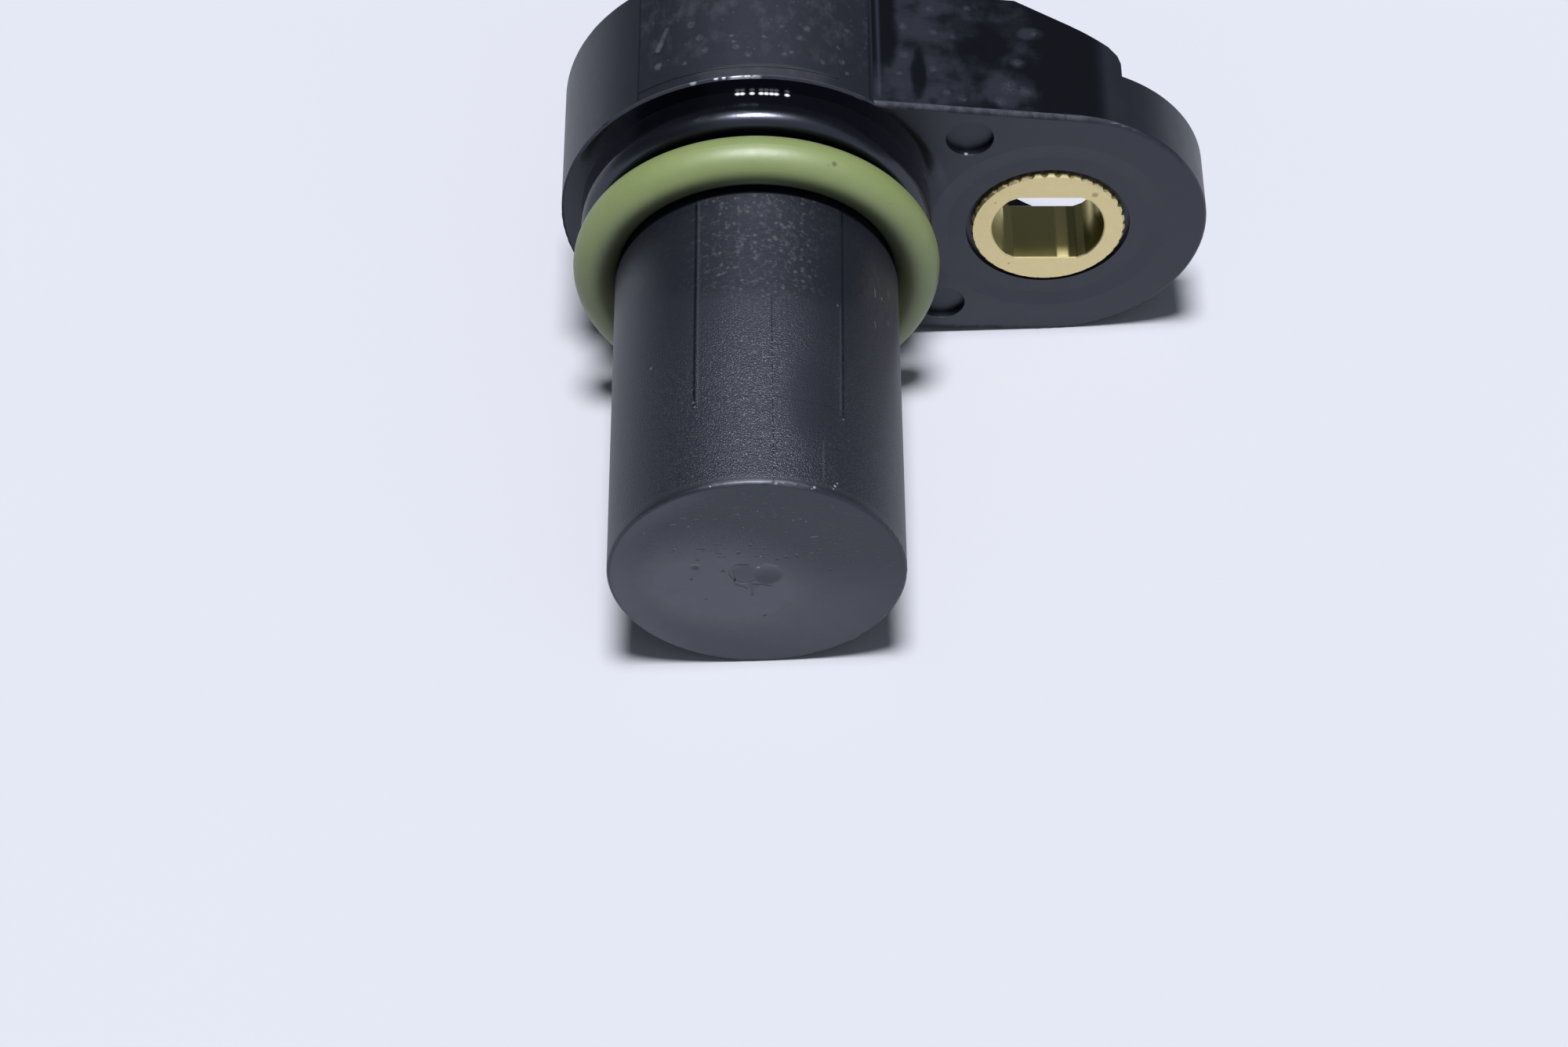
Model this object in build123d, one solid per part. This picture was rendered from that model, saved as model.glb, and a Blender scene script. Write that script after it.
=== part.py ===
from build123d import *
import math
import os

# Camshaft position sensor. Millimetres, +Z up.
# Origin: on the probe axis, in the plane of the head's seating face.
# The probe points along -Y, the connector socket along +Y, the fixing ear along +X.

# ---- driving dimensions -------------------------------------------------
probe_r = 9.0            # probe sleeve radius
tip_y = -29.0            # flat tip of the probe
tip_round = 0.22         # rounding of the tip's rim
groove_front_y = -6.5    # front end of the O-ring groove
groove_rear_y = -2.5     # rear wall of the O-ring groove
groove_r = 8.72          # groove floor radius
shoulder_r = 11.3        # spigot shoulder radius
shoulder_round = 1.0     # rounding of the shoulder's front edge
head_r = 12.6            # round head radius
head_t = 10.0            # head thickness
head_round = 0.15        # rounding of the head's front edge
head_back_round = 0.3    # rounding of the head's back edge

ring_major_r = 10.21     # O-ring centre-line radius
ring_section_r = 1.49    # O-ring section radius
ring_y = -4.77           # O-ring centre plane

ear_x = 19.0             # bush axis from the probe axis
ear_r = 10.3             # rounded end of the ear
ear_t = 4.5              # ear plate thickness
ear_root_x = 6.6         # where the ear's straight edge leaves the round head
rib_top_x = 15.9         # the rib keeps the head's thickness up to here
rib_low_x = 21.9         # and falls in a straight line to here
rib_low_y = 6.8
rib_end_x = 22.7         # end face of the rib
pocket_r = 7.0           # screw-head clearance behind the ear

bush_r = 5.0             # brass bush radius over the knurl
bush_knurl = 0.16        # knurl depth
bush_teeth = 36
bush_edge = 0.12         # bevel round the front face
bush_front_y = -0.1      # the bush stands proud of the face
bush_back_y = 4.5
bush_hole_r = 3.65       # round part of the hole
bush_flat = 2.85         # from the axis to each flat
bush_turn = 4.2          # the flats' angle to the ear's centre line, degrees
bush_corner = 2.05       # half length of each flat, up to the small corner facets
bush_chamfer = 0.08      # broken edge at both mouths of the hole

shroud_w = 16.0          # connector socket, outside
shroud_h = 13.8
shroud_wall = 1.5
shroud_end_y = 27.0
socket_floor_y = 13.0

pin_pitch = 3.6
pin_w = 1.5
strip_t = 0.64
strip_z = 3.0            # underside of the strips on the carrier
blade_end_y = 21.5

os.makedirs("parts", exist_ok=True)


def prism_xz(face_xy, y0, y1):
    """Extrude a sketch drawn with (x, z) coordinates from y0 to y1."""
    # On this plane the sketch's first axis is +X, its second +Z, and its normal -Y.
    plane = Plane(origin=(0, y1, 0), x_dir=(1, 0, 0), z_dir=(0, -1, 0))
    return extrude(plane * face_xy, amount=y1 - y0)


# ---- fixing ear outline -------------------------------------------------
root_z = math.sqrt(head_r**2 - ear_root_x**2)
dx, dz = ear_x - ear_root_x, root_z
dist = math.hypot(dx, dz)
# Tangent from the root point to the ear's round end.
to_centre = math.atan2(-dz, dx)
half = math.asin(ear_r / dist)
along = math.sqrt(dist**2 - ear_r**2)
touch = (
    ear_root_x + along * math.cos(to_centre + half),
    root_z + along * math.sin(to_centre + half),
)
ear_outline = make_face(
    Polyline((0, -root_z + 0.4), (0, root_z - 0.4), (3.0, root_z), (ear_root_x, root_z), touch)
    + ThreePointArc(touch, (ear_x + ear_r, 0), (touch[0], -touch[1]))
    + Polyline((touch[0], -touch[1]), (ear_root_x, -root_z), (3.0, -root_z), (0, -root_z + 0.4))
)

# ---- brass bush ---------------------------------------------------------
knurl = []
for i in range(bush_teeth):
    for share, r in ((0.0, bush_r - bush_knurl), (0.3, bush_r), (0.7, bush_r)):
        a = 2 * math.pi * (i + share) / bush_teeth
        knurl.append((ear_x + r * math.cos(a), r * math.sin(a)))
knurl_face = make_face(Polyline(*knurl, close=True))


def two_flat_hole(grow):
    """Round hole with two flats. A small facet joins each end of a flat to the round part."""
    disc = Circle(bush_hole_r + grow)
    flat_z, side_x, side_z = bush_flat + grow, 4.2 + grow, 1.67 + grow
    corners = [(-side_x, -side_z), (-bush_corner, -flat_z), (bush_corner, -flat_z), (side_x, -side_z)]
    corners += [(-a, -b) for a, b in corners]
    band = make_face(Polyline(*corners, close=True))
    return Pos(ear_x, 0) * (Rot(0, 0, bush_turn) * (disc & band))


def hole_mouth(y_face, into):
    """Bevelled mouth of the two-flat hole. into is +1 at the front face and -1 at the back face."""
    outer = Plane(origin=(0, y_face, 0), x_dir=(1, 0, 0), z_dir=(0, -1, 0)) * two_flat_hole(bush_chamfer)
    inner = Plane(
        origin=(0, y_face + into * bush_chamfer, 0), x_dir=(1, 0, 0), z_dir=(0, -1, 0)
    ) * two_flat_hole(0)
    return loft([outer.faces()[0], inner.faces()[0]])


bush_body = prism_xz(knurl_face, bush_front_y, bush_back_y)
blank_face = make_face(
    Polyline(
        (0, bush_front_y),
        (bush_r - bush_edge, bush_front_y),
        (bush_r + 0.02, bush_front_y + bush_edge + 0.02),
        (bush_r + 0.02, bush_back_y),
        (0, bush_back_y),
        close=True,
    )
)
bush_body = bush_body & (Pos(ear_x, 0, 0) * revolve(blank_face, Axis.Y))
bush = bush_body - prism_xz(two_flat_hole(0), bush_front_y - 1, bush_back_y + 1)
bush = bush - hole_mouth(bush_front_y, 1) - hole_mouth(bush_back_y, -1)

# ---- housing: turned shapes --------------------------------------------
k = 1 - math.sqrt(0.5)


def turned(segments):
    """Revolve a profile made of straight runs and three-point arcs."""
    lines = []
    for seg in segments:
        lines.append(Line(*seg) if len(seg) == 2 else ThreePointArc(*seg))
    face = make_face(lines)
    return revolve(face, Axis.Y)


s0, s1, s2 = (
    (shoulder_r - shoulder_round, groove_rear_y),
    (shoulder_r - shoulder_round * k, groove_rear_y + shoulder_round * k),
    (shoulder_r, groove_rear_y + shoulder_round),
)
h0, h1, h2 = (
    (head_r - head_round, 0),
    (head_r - head_round * k, head_round * k),
    (head_r, head_round),
)
b0, b1, b2 = (
    (head_r, head_t - head_back_round),
    (head_r - head_back_round * k, head_t - head_back_round * k),
    (head_r - head_back_round, head_t),
)
t0 = (probe_r - tip_round, tip_y)
t1 = (probe_r - tip_round * k, tip_y + tip_round * k)
t2 = (probe_r, tip_y + tip_round)
stem = turned(
    [
        ((0, tip_y), t0),
        (t0, t1, t2),
        (t2, (probe_r, groove_front_y)),
        ((probe_r, groove_front_y), (groove_r, groove_front_y)),
        ((groove_r, groove_front_y), (groove_r, groove_rear_y)),
        ((groove_r, groove_rear_y), s0),
        (s0, s1, s2),
        (s2, (shoulder_r, 0)),
        ((shoulder_r, 0), h0),
        (h0, h1, h2),
        (h2, b0),
        (b0, b1, b2),
        (b2, (0, head_t)),
        ((0, head_t), (0, tip_y)),
    ]
)

# Raised band of the mould insert along the top of the probe, fading out towards the tip.
band_from, band_to = -27.6, 30.3     # degrees from +Z, positive towards the ear
band_face = make_face(
    Polyline(
        (probe_r - 0.5, groove_front_y),
        (probe_r + 0.09, groove_front_y),
        (probe_r + 0.02, -22.5),
        (probe_r - 0.5, -22.5),
        close=True,
    )
)


def turned_part(face, from_deg, to_deg):
    """Part revolution of an x-y profile about Y, between two angles from +Z towards +X."""
    piece = revolve(face, Axis.Y, revolution_arc=to_deg - from_deg)
    # A positive turn about +Y carries +Z towards +X, so the start goes to the first angle.
    return Rot(0, -90 + from_deg, 0) * piece


probe_band = turned_part(band_face, band_from, band_to)

# Slightly raised moulding field on top of the head, left of the ear.
field_face = make_face(
    Polyline(
        (head_r - 0.6, 0.85),
        (head_r + 0.05, 0.85),
        (head_r + 0.05, head_t - 0.9),
        (head_r - 0.6, head_t - 0.9),
        close=True,
    )
)
head_field = turned_part(field_face, -39.8, 20.0)

# ---- housing: ear, ribs and connector socket ---------------------------
ear_plate = prism_xz(ear_outline, 0, ear_t)
front_edges = ear_plate.edges().filter_by_position(Axis.Y, -0.01, 0.01).filter_by(
    lambda e: e.center().X > 3.2
)
ear_plate = fillet(front_edges, 0.25)

# Two ribs along the ear's long edges: the full outline, less the screw-head pocket, under a sloping back.
rib_block = prism_xz(ear_outline, ear_t - 1.5, head_t)
side_view = make_face(
    Polyline(
        (0, ear_t - 1.5),
        (0, head_t),
        (rib_top_x, head_t),
        (rib_low_x, rib_low_y),
        (rib_end_x - 0.2, rib_low_y - 0.6),
        (rib_end_x, rib_low_y - 1.2),
        (rib_end_x, ear_t - 1.5),
        close=True,
    )
)
side_cut = Pos(0, 0, -20) * extrude(side_view, amount=40)
rib_block = rib_block & side_cut
pocket = prism_xz(
    Pos(ear_x, 0) * Circle(pocket_r) + Pos(ear_x + 8, 0) * Rectangle(16, 2 * pocket_r),
    ear_t,
    head_t + 1,
)
rib_block = rib_block - pocket

shroud_r = shroud_h / 2
shroud_outer = prism_xz(SlotOverall(shroud_w, shroud_h), head_t - 1.0, shroud_end_y)
mouth_edges = shroud_outer.edges().filter_by_position(Axis.Y, shroud_end_y - 0.01, shroud_end_y + 0.01)
shroud_outer = fillet(mouth_edges, 0.4)
shroud_cavity = prism_xz(
    SlotOverall(shroud_w - 2 * shroud_wall, shroud_h - 2 * shroud_wall), socket_floor_y, shroud_end_y + 1
)
latch_side = make_face(
    Polyline(
        (shroud_r - 0.5, 17.5),
        (shroud_r + 1.5, 17.5),
        (shroud_r + 1.5, 18.4),
        (shroud_r, 21.6),
        (shroud_r - 0.5, 21.6),
        close=True,
    )
)
# The latch profile is drawn in (z, y) and stood up on the shroud's top.
latch = Pos(-2.5, 0, 0) * extrude(
    Plane(origin=(0, 0, 0), x_dir=(0, 0, 1), z_dir=(-1, 0, 0)) * latch_side, amount=-5.0
)

recess = prism_xz(Pos(ear_x, 0) * Circle(bush_r + 0.34), -1.0, 0.45) - prism_xz(
    Pos(ear_x, 0) * Circle(bush_r - 0.7), -1.0, 0.45
)
# Shallow dish round the bush, with a soft outer edge.
dish_face = make_face(
    [
        Spline((7.75, 0), (7.15, 0.05), (6.55, 0.10), tangents=((-1, 0), (-1, 0))),
        Line((6.55, 0.10), (bush_r - 0.4, 0.10)),
        Line((bush_r - 0.4, 0.10), (bush_r - 0.4, -0.5)),
        Line((bush_r - 0.4, -0.5), (7.75, -0.5)),
        Line((7.75, -0.5), (7.75, 0)),
    ]
)
dish = Pos(ear_x, 0, 0) * revolve(dish_face, Axis.Y)


def round_recess(x, z, r, y0, depth, lip):
    """Round blind recess from the face at y0 into the plastic, with a rounded lip."""
    face = make_face(
        [
            Line((0, y0 - 0.5), (r + lip, y0 - 0.5)),
            Line((r + lip, y0 - 0.5), (r + lip, y0)),
            ThreePointArc((r + lip, y0), (r + lip * k, y0 + lip * k), (r, y0 + lip)),
            Line((r, y0 + lip), (r, y0 + depth)),
            Line((r, y0 + depth), (0, y0 + depth)),
            Line((0, y0 + depth), (0, y0 - 0.5)),
        ]
    )
    return Pos(x, 0, z) * revolve(face, Axis.Y)


ejector_marks = [round_recess(12.95, s * 7.95, 1.52, 0, 0.45, 0.03) for s in (1, -1)]
# Gate mark on the tip: a round dimple with a shallow scar beside it.


def dimple(x, z, r, depth):
    """Shallow spherical hollow in the tip's face."""
    face = make_face(
        [
            ThreePointArc((0, tip_y + depth), (r * 0.52, tip_y + depth * 0.74), (r, tip_y)),
            Line((r, tip_y), (r, tip_y - 0.5)),
            Line((r, tip_y - 0.5), (0, tip_y - 0.5)),
            Line((0, tip_y - 0.5), (0, tip_y + depth)),
        ]
    )
    return Pos(x, 0, z) * revolve(face, Axis.Y)


gate_dimple = dimple(0.56, 0.13, 1.02, 0.13)
gate_scar = prism_xz(Pos(-0.82, 0.12) * (Rot(0, 0, 20) * Ellipse(0.86, 1.0)), tip_y - 0.5, tip_y + 0.045)

housing = stem + probe_band + head_field + ear_plate + rib_block
housing = housing + shroud_outer + latch
housing = housing - dish
for mark in ejector_marks:
    housing = housing - mark
housing = housing - gate_dimple - gate_scar
housing = housing - shroud_cavity
housing = housing - recess - prism_xz(knurl_face, -1.0, ear_t + 0.5)

# ---- inner pieces -------------------------------------------------------
tip_wall = 1.0
chip_y0 = tip_y + tip_wall          # chip against the inside of the tip wall
chip_t = 1.5
plate_t = 1.0
magnet_t = 5.0
magnet_r = 3.0
front_r = 6.5                       # round front part of the carrier
lead_t = 0.4
lead_z = strip_z + strip_t          # leads lie on the strips

chip_y1 = chip_y0 + chip_t
plate_y1 = chip_y1 + plate_t
magnet_y1 = plate_y1 + magnet_t


def block(x0, x1, y0, y1, z0, z1):
    return Pos((x0 + x1) / 2, (y0 + y1) / 2, (z0 + z1) / 2) * Box(x1 - x0, y1 - y0, z1 - z0)


chip = block(-2.1, 2.1, chip_y0, chip_y1, -1.8, 1.8)
chip = chamfer(chip.edges().filter_by(Axis.Z), 0.25)
pole_plate = prism_xz(Circle(magnet_r), chip_y1, plate_y1)
magnet = prism_xz(Circle(magnet_r), plate_y1, magnet_y1)

# Carrier: a round cup round magnet and pole plate, flat on top for the leads, and a bar behind it for the strips.
cup = prism_xz(Circle(front_r), chip_y1, magnet_y1 + 1.5) & block(-8, 8, -40, 10, -5.2, lead_z)
bar = prism_xz(Circle(front_r), magnet_y1 + 1.5, 2.0) & block(-8, 8, -40, 10, -4.2, strip_z)
carrier = cup + bar - prism_xz(Circle(magnet_r), chip_y1 - 1, magnet_y1)
# Two cross slots under the bar, which the housing plastic grips.
for y in (-13.5, -6.5):
    carrier = carrier - block(-8, 8, y, y + 2.0, -5, -3.0)

strip_y0 = magnet_y1 + 2.0          # front end of the strips
fan_y0, fan_y1 = -11.5, -7.5        # the strips spread out between these
jog_y0, jog_y1 = 3.2, 6.4           # and step down to the socket's centre plane


def terminal(side):
    """side is -1, 0 or 1."""
    x_in, x_out = side * 1.27, side * pin_pitch
    wi, wo = 0.9, pin_w
    flat = make_face(
        Polyline(
            (x_in - wi / 2, strip_y0),
            (x_in + wi / 2, strip_y0),
            (x_in + wi / 2, fan_y0),
            (x_out + wo / 2, fan_y1),
            (x_out + wo / 2, 1.0),
            (x_out - wo / 2, 1.0),
            (x_out - wo / 2, fan_y1),
            (x_in - wi / 2, fan_y0),
            close=True,
        )
    )
    flat = Pos(0, 0, strip_z) * extrude(flat, amount=strip_t)
    h = strip_t / 2
    # Side view (y, z) of the step down and the blade with its pointed end.
    side_pts = [
        (0.5, strip_z),
        (jog_y0, strip_z),
        (jog_y1 - 0.45, -h),
        (blade_end_y - 0.8, -h),
        (blade_end_y, -h + 0.2),
        (blade_end_y, h - 0.2),
        (blade_end_y - 0.8, h),
        (jog_y1, h),
        (jog_y0 + 0.45, strip_z + strip_t),
        (0.5, strip_z + strip_t),
    ]
    step = make_face(Plane.YZ * Polyline(*side_pts, close=True))
    step = Pos(x_out - wo / 2, 0, 0) * extrude(step, amount=wo, dir=(1, 0, 0))
    return flat + step


terminals = {"supply": terminal(-1), "ground": terminal(0), "signal": terminal(1)}


def chip_lead(side):
    x = side * 1.27
    y0 = chip_y0 + 0.55
    end = strip_y0 + 4.0
    pts = [
        (y0, 1.8),
        (y0, lead_z + lead_t - 0.35),
        (y0 + 0.35, lead_z + lead_t),
        (end, lead_z + lead_t),
        (end, lead_z),
        (y0 + lead_t + 0.12, lead_z),
        (y0 + lead_t, lead_z - 0.12),
        (y0 + lead_t, 1.8),
    ]
    prof = make_face(Plane.YZ * Polyline(*pts, close=True))
    return Pos(x - 0.2, 0, 0) * extrude(prof, amount=0.4, dir=(1, 0, 0))


leads = {"supply": chip_lead(-1), "ground": chip_lead(0), "signal": chip_lead(1)}

cap_y = -4.5
capacitors = {
    "supply": block(-3.4, -0.2, cap_y - 0.8, cap_y + 0.8, lead_z, lead_z + 1.2),
    "signal": block(0.2, 3.4, cap_y - 0.8, cap_y + 0.8, lead_z, lead_z + 1.2),
}

inner = [chip, pole_plate, magnet, carrier]
inner += list(terminals.values()) + list(leads.values()) + list(capacitors.values())
for piece in inner:
    housing = housing - piece
# The plastic also fills the space between chip and carrier cup, so nothing is left hollow there.

o_ring = Pos(0, ring_y, 0) * (Rot(90, 0, 0) * Torus(ring_major_r, ring_section_r))

nodes = {
    "housing": housing,
    "o_ring": o_ring,
    "mounting_bush": bush,
    "sensor_carrier": carrier,
    "hall_chip": chip,
    "pole_plate": pole_plate,
    "bias_magnet": magnet,
    "chip_lead_supply": leads["supply"],
    "chip_lead_signal": leads["signal"],
    "chip_lead_ground": leads["ground"],
    "terminal_supply": terminals["supply"],
    "terminal_signal": terminals["signal"],
    "terminal_ground": terminals["ground"],
    "capacitor_supply": capacitors["supply"],
    "capacitor_signal": capacitors["signal"],
}
for name, shape in nodes.items():
    solids = shape.solids()
    print(name, len(solids), [round(s.volume, 2) for s in solids], all(s.is_valid for s in solids))
    if len(solids) > 1:
        for s in solids:
            print("   ", s.bounding_box())
    out = solids[0] if len(solids) == 1 else Compound(children=list(solids))
    export_step(out, f"parts/{name}.step")
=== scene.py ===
import bpy
import math
import numpy as np
from mathutils import Matrix, Vector


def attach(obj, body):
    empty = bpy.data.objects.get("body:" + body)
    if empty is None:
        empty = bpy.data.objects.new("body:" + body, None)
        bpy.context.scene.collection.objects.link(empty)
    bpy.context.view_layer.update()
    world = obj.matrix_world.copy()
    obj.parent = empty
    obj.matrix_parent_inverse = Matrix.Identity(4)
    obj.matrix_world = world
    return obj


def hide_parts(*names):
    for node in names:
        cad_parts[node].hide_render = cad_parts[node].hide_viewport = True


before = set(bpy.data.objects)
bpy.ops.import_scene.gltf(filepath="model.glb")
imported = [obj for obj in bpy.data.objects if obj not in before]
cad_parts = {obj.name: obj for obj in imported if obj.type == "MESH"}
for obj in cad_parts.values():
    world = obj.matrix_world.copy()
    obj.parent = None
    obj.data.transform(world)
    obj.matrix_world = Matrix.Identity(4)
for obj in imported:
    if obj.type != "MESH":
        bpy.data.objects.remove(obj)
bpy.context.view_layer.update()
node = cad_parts
scene = bpy.context.scene
MM = 0.001

# ---- camera -------------------------------------------------------------
# The photograph's own viewpoint, in the part's frame.
eye = Vector((-12.12001, -155.32426, 172.15403)) * MM
ahead = Vector((0.06365243, 0.60223832, -0.7957747))
right = Vector((0.99712296, -0.00549149, 0.07560195))
down = Vector((0.0411604, -0.79829747, -0.6008552))
lens = bpy.data.cameras.new("photo_lens")
lens.sensor_fit = "HORIZONTAL"
lens.sensor_width = 36.0
lens.lens = 82.0386
lens.clip_start = 0.005
lens.clip_end = 50.0
lens.dof.use_dof = False
camera = bpy.data.objects.new("photo_camera", lens)
scene.collection.objects.link(camera)
turn = Matrix((right, -down, -ahead)).transposed()
camera.matrix_world = Matrix.Translation(eye) @ turn.to_4x4()
scene.camera = camera

# ---- floor and light ----------------------------------------------------
# The sensor lies on three points: the head's front edge, the ear and the tip.
up = Vector((-0.1254, 0.1232, 0.9845)).normalized()
floor_at = up * (-12.512 * MM)
side = up.orthogonal().normalized()
across = up.cross(side)
half = 3.0
corners = [floor_at + side * a * half + across * b * half for a, b in ((-1, -1), (1, -1), (1, 1), (-1, 1))]
sheet = bpy.data.meshes.new("floor")
sheet.from_pydata(corners, [], [(0, 1, 2, 3)])
floor = bpy.data.objects.new("floor", sheet)
scene.collection.objects.link(floor)

scene.view_settings.view_transform = "Standard"
scene.view_settings.look = "None"
scene.view_settings.exposure = 0.0

# A dim ceiling over a pale horizon.
world = bpy.data.worlds.new("studio")
world.use_nodes = True
sky = world.node_tree
backdrop = sky.nodes["Background"]
toward = sky.nodes.new("ShaderNodeTexCoord")
rise = sky.nodes.new("ShaderNodeVectorMath")
rise.operation = "DOT_PRODUCT"
sky.links.new(toward.outputs["Generated"], rise.inputs[0])
rise.inputs[1].default_value = up
fade = sky.nodes.new("ShaderNodeMapRange")
fade.interpolation_type = "SMOOTHSTEP"
sky.links.new(rise.outputs["Value"], fade.inputs["Value"])
fade.inputs["From Min"].default_value = -0.02
fade.inputs["From Max"].default_value = 0.45
tone = sky.nodes.new("ShaderNodeMix")
tone.data_type = "RGBA"
sky.links.new(fade.outputs[0], tone.inputs[0])
tone.inputs[6].default_value = (0.17, 0.185, 0.215, 1.0)
tone.inputs[7].default_value = (0.080, 0.088, 0.104, 1.0)
sky.links.new(tone.outputs[2], backdrop.inputs["Color"])
backdrop.inputs["Strength"].default_value = 1.0
scene.world = world


def lamp(name, towards, energy, spread, colour=(1.0, 1.0, 1.0)):
    """A distant lamp that shines from the direction towards."""
    data = bpy.data.lights.new(name, "SUN")
    data.energy = energy
    data.angle = math.radians(spread)
    data.color = colour
    obj = bpy.data.objects.new(name, data)
    scene.collection.objects.link(obj)
    obj.rotation_mode = "QUATERNION"
    obj.rotation_quaternion = Vector(towards).to_track_quat("Z", "Y")
    return obj


lamp("overhead_lamp", (-0.085, -0.07, 1.0), 6.85, 14.0, (0.955, 0.97, 1.0))
lamp("fill_lamp", (0.25, -0.70, 0.65), 0.7, 80.0, (0.80, 0.89, 1.0))


# ---- node graphs --------------------------------------------------------
class Val:
    """A number in a material's graph, with ordinary arithmetic."""

    def __init__(self, graph, socket):
        self.g, self.s = graph, socket

    def __add__(self, other):
        return self.g.math("ADD", self, other)

    __radd__ = __add__

    def __sub__(self, other):
        return self.g.math("SUBTRACT", self, other)

    def __rsub__(self, other):
        return self.g.math("SUBTRACT", other, self)

    def __mul__(self, other):
        return self.g.math("MULTIPLY", self, other)

    __rmul__ = __mul__

    def __truediv__(self, other):
        return self.g.math("DIVIDE", self, other)

    def __neg__(self):
        return self.g.math("MULTIPLY", self, -1.0)


class Graph:
    """One material's nodes. Lengths are millimetres in the part's frame."""

    def __init__(self, name):
        self.mat = bpy.data.materials.new(name)
        self.mat.use_nodes = True
        self.tree = self.mat.node_tree
        self.tree.nodes.clear()
        self.out = self.tree.nodes.new("ShaderNodeOutputMaterial")
        self.shader = self.tree.nodes.new("ShaderNodeBsdfPrincipled")
        self.tree.links.new(self.shader.outputs["BSDF"], self.out.inputs["Surface"])
        coord = self.tree.nodes.new("ShaderNodeTexCoord")
        scale = self.tree.nodes.new("ShaderNodeVectorMath")
        scale.operation = "SCALE"
        scale.inputs["Scale"].default_value = 1000.0
        self.tree.links.new(coord.outputs["Object"], scale.inputs[0])
        self.p = scale.outputs[0]
        self.x, self.y, self.z = self.split(self.p)
        self.normal = coord.outputs["Normal"]

    def put(self, value, socket):
        if isinstance(value, Val):
            value = value.s
        if isinstance(value, bpy.types.NodeSocket):
            self.tree.links.new(value, socket)
        else:
            socket.default_value = value

    def split(self, vector):
        n = self.tree.nodes.new("ShaderNodeSeparateXYZ")
        self.tree.links.new(vector, n.inputs[0])
        return [Val(self, s) for s in n.outputs]

    def join(self, x, y, z):
        n = self.tree.nodes.new("ShaderNodeCombineXYZ")
        for value, socket in zip((x, y, z), n.inputs):
            self.put(value, socket)
        return n.outputs[0]

    def math(self, operation, a, b=None, c=None):
        # Terms that are plainly nothing, or change nothing, need no node.
        numbers = [isinstance(v, (int, float)) for v in (a, b)]
        if operation == "MULTIPLY":
            if (numbers[0] and a == 0) or (numbers[1] and b == 0):
                return 0.0
            if numbers[0] and a == 1:
                return b
            if numbers[1] and b == 1:
                return a
        if operation in ("ADD", "SUBTRACT") and numbers[1] and b == 0:
            return a
        if operation == "ADD" and numbers[0] and a == 0:
            return b
        n = self.tree.nodes.new("ShaderNodeMath")
        n.operation = operation
        for value, socket in zip((a, b, c), n.inputs):
            if value is not None:
                self.put(value, socket)
        return Val(self, n.outputs[0])

    def step(self, value, low, high):
        """0 below low, 1 above high, smooth between. Falls instead of rising where low is above high."""
        if isinstance(value, (int, float)):
            return 0.0
        if low > high:
            return 1.0 - self.step(value, high, low)
        n = self.tree.nodes.new("ShaderNodeMapRange")
        n.interpolation_type = "SMOOTHSTEP"
        self.put(value, n.inputs["Value"])
        n.inputs["From Min"].default_value = low
        n.inputs["From Max"].default_value = high
        return Val(self, n.outputs[0])

    def span(self, value, low, high, soft):
        """1 between low and high, with soft edges."""
        return self.step(value, low - soft / 2, low + soft / 2) * self.step(value, high + soft / 2, high - soft / 2)

    def line(self, value, at, width):
        """1 on the line where value is at, 0 from width on."""
        return self.step(self.math("ABSOLUTE", value - at), width, 0.0)

    def noise(self, scale, detail=2.0, rough=0.5, stretch=(1, 1, 1), shift=(0, 0, 0), at=None, distortion=0.0):
        """Noise from 0 to 1. Scale is the number of grains a millimetre."""
        n = self.tree.nodes.new("ShaderNodeTexNoise")
        m = self.tree.nodes.new("ShaderNodeVectorMath")
        m.operation = "MULTIPLY_ADD"
        self.put(self.p if at is None else at, m.inputs[0])
        m.inputs[1].default_value = stretch
        m.inputs[2].default_value = shift
        self.tree.links.new(m.outputs[0], n.inputs["Vector"])
        n.inputs["Scale"].default_value = scale
        n.inputs["Detail"].default_value = detail
        n.inputs["Roughness"].default_value = rough
        n.inputs["Distortion"].default_value = distortion
        return Val(self, n.outputs["Fac"] if "Fac" in n.outputs else n.outputs[0])

    def cells(self, scale, stretch=(1, 1, 1), shift=(0, 0, 0), feature="F1", spread=1.0, at=None):
        """Distance to scattered points, in cell widths."""
        n = self.tree.nodes.new("ShaderNodeTexVoronoi")
        n.feature = feature
        m = self.tree.nodes.new("ShaderNodeVectorMath")
        m.operation = "MULTIPLY_ADD"
        self.put(self.p if at is None else at, m.inputs[0])
        m.inputs[1].default_value = stretch
        m.inputs[2].default_value = shift
        self.tree.links.new(m.outputs[0], n.inputs["Vector"])
        n.inputs["Scale"].default_value = scale
        n.inputs["Randomness"].default_value = spread
        return Val(self, n.outputs["Distance"])

    def far(self, x, y, z):
        """Distance from a point."""
        n = self.tree.nodes.new("ShaderNodeVectorMath")
        n.operation = "DISTANCE"
        self.tree.links.new(self.p, n.inputs[0])
        n.inputs[1].default_value = (x, y, z)
        return Val(self, n.outputs["Value"])

    def near(self, radius, *points, soft=0.4):
        """1 within radius of any of the points."""
        found = None
        for point in points:
            d = self.far(*point[:3])
            if len(point) > 3:
                d = d * (radius / point[3])
            found = d if found is None else self.math("MINIMUM", found, d)
        return self.step(found, radius * (1 + soft), radius * (1 - soft))

    def flat(self, u, v, at_u, at_v, radius_u, radius_v, soft=0.5):
        """Soft ellipse in two coordinates."""
        a, b = (u - at_u) / radius_u, (v - at_v) / radius_v
        return self.step(self.math("SQRT", a * a + b * b), 1 + soft, 1 - soft)

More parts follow.
